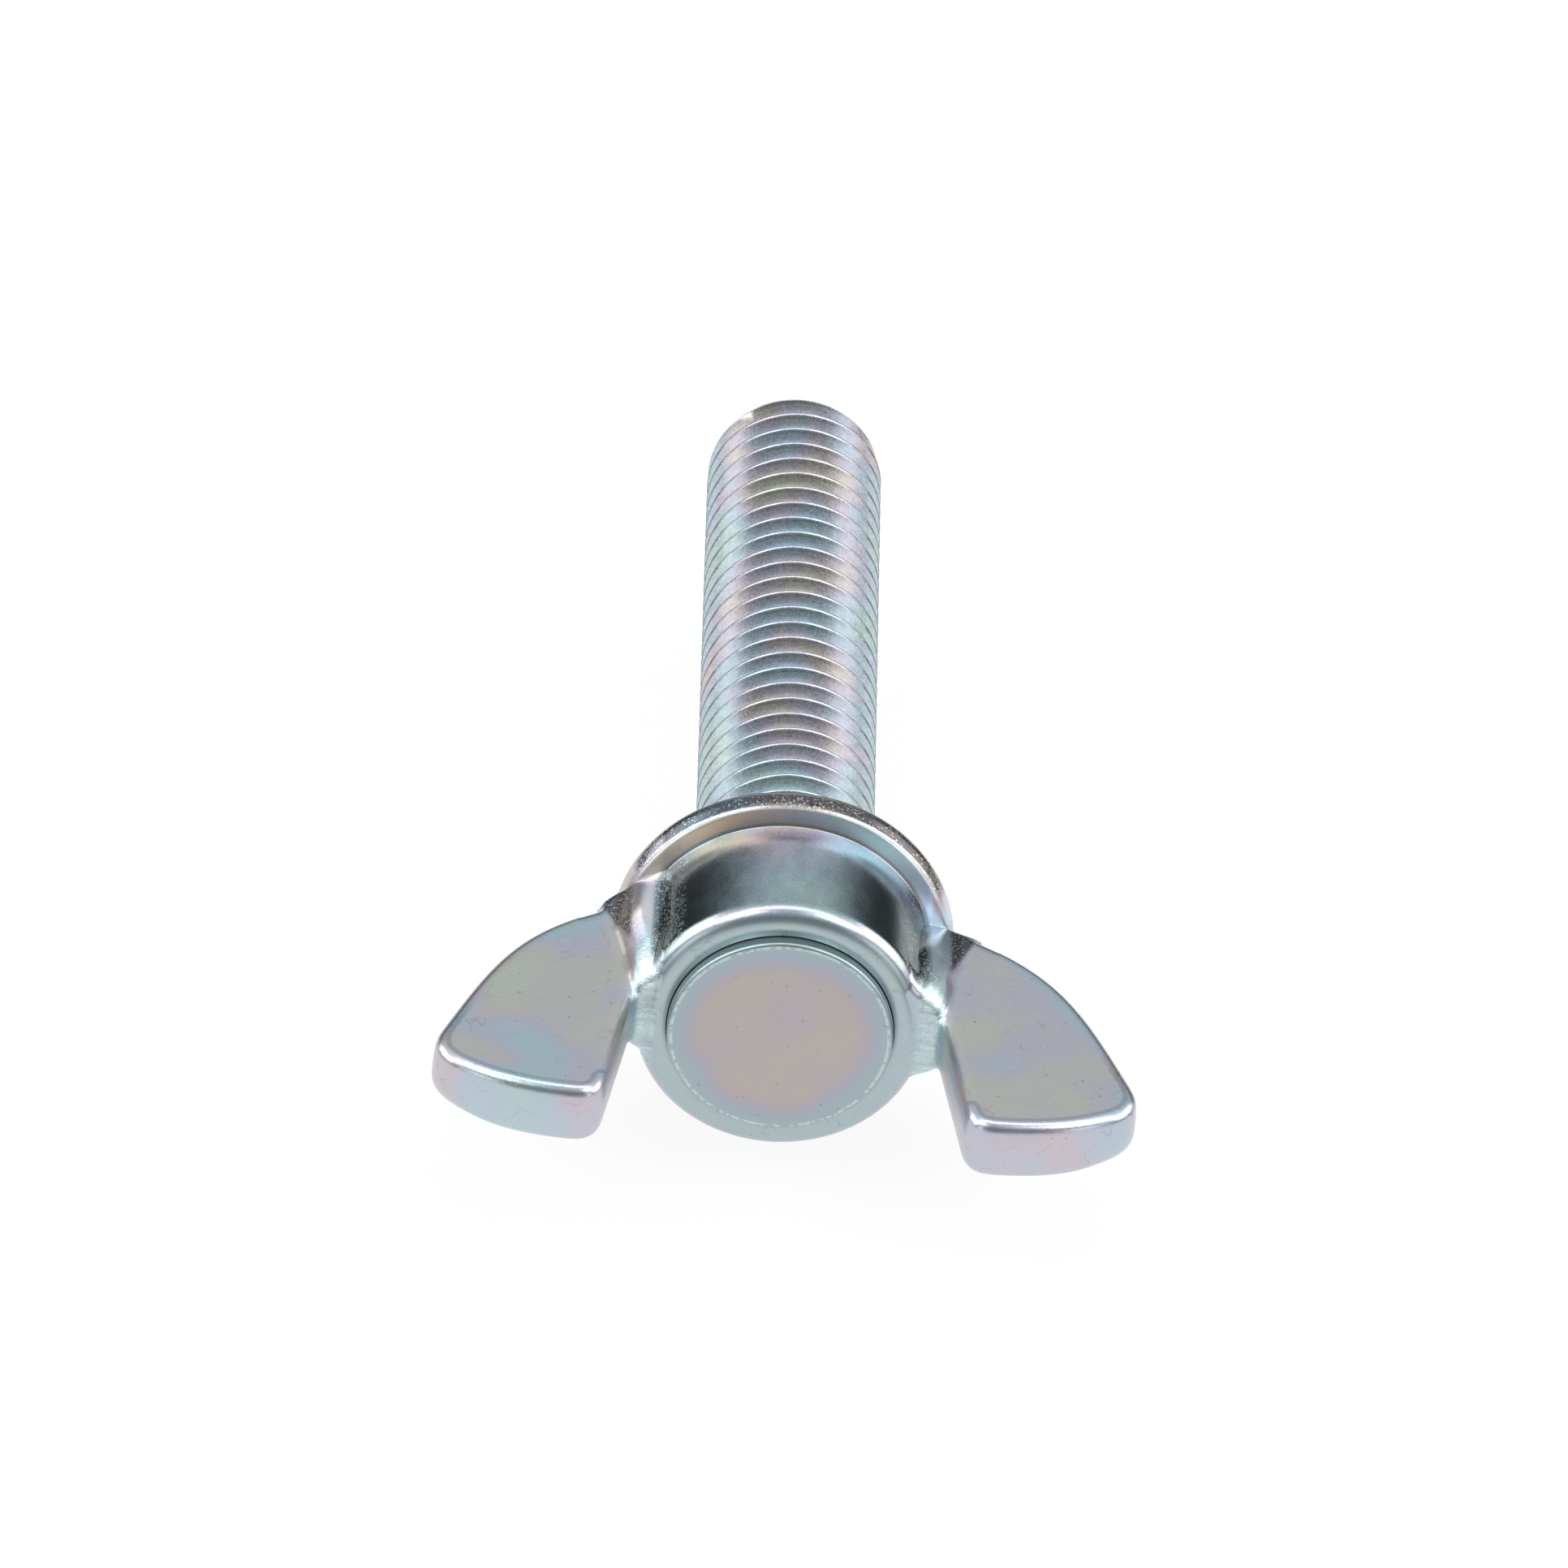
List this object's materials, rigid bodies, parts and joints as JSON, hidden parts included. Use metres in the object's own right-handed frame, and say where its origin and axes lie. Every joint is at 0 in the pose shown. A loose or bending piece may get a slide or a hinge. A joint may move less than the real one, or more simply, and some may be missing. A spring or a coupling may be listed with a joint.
{
  "type": "wing bolt",
  "caption": "Wing bolt: a forged wing head with a round boss and collar, and a fully threaded stud pressed through it for tightening by hand.",
  "frame": {"origin": "on the bolt's axis, in the plane of the collar's bearing face", "axes": "+Y along the bolt's axis towards the threaded tip, X along the wings, +Z square to the wings"},
  "size_m": [0.0382, 0.0659, 0.0186],
  "materials": {
    "head_steel": "bright zinc plate, satin, with faint pink, yellow and cyan interference tints",
    "stud_steel": "bright zinc plate on a rolled thread, satin, with faint lilac and mint interference tints"
  },
  "bodies": {
    "root": {"wing_head": "head_steel", "threaded_stud": "stud_steel"}
  },
  "joints": []
}
